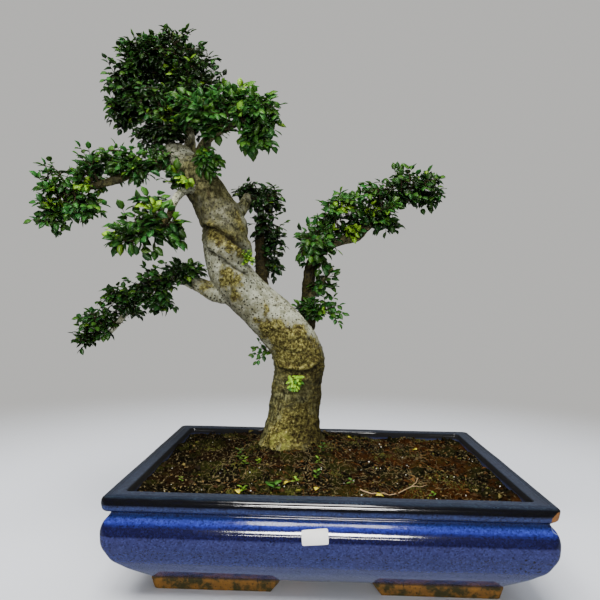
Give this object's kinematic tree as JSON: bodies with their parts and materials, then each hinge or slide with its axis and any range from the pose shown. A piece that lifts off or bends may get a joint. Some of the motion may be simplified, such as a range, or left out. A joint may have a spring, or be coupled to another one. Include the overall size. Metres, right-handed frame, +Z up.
{
  "type": "bonsai tree in a pot",
  "caption": "Leaning S-curved miniature elm with foliage pads on bent boughs, growing in a low rectangular glazed pot with corner feet.",
  "frame": {"origin": "on the plane that the pot's feet stand on, under the middle of the whole bonsai's bounding box", "axes": "+Z up, +X to the right along the pot's length, +Y away from the side with the label"},
  "size_m": [0.5094, 0.2919, 0.579],
  "materials": {
    "glaze": "gloss",
    "soil": "matte",
    "bark": "matte",
    "leaf": "satin",
    "young_leaf": "satin",
    "screen": "matte",
    "paper": "matte"
  },
  "bodies": {
    "root": {"pot": "glaze", "stock_label": "paper", "drain_screen_left": "screen", "drain_screen_right": "screen", "soil": "soil", "tree_wood": "bark", "shoot_base_dark": "leaf", "shoot_top_right": "leaf", "shoot_right_foot": "leaf", "shoot_base_bright": "young_leaf", "shoot_fold_bright": "young_leaf", "shoot_top_bright": "young_leaf", "spray_crown_left": "leaf", "spray_crown_middle": "leaf", "spray_crown_back": "leaf", "spray_crown_right": "leaf", "spray_upper_left": "leaf", "spray_middle_left": "leaf", "spray_lower_left": "leaf", "spray_back": "leaf", "spray_right_lower": "leaf", "spray_right_middle": "leaf", "spray_right_end": "leaf"}
  },
  "joints": []
}
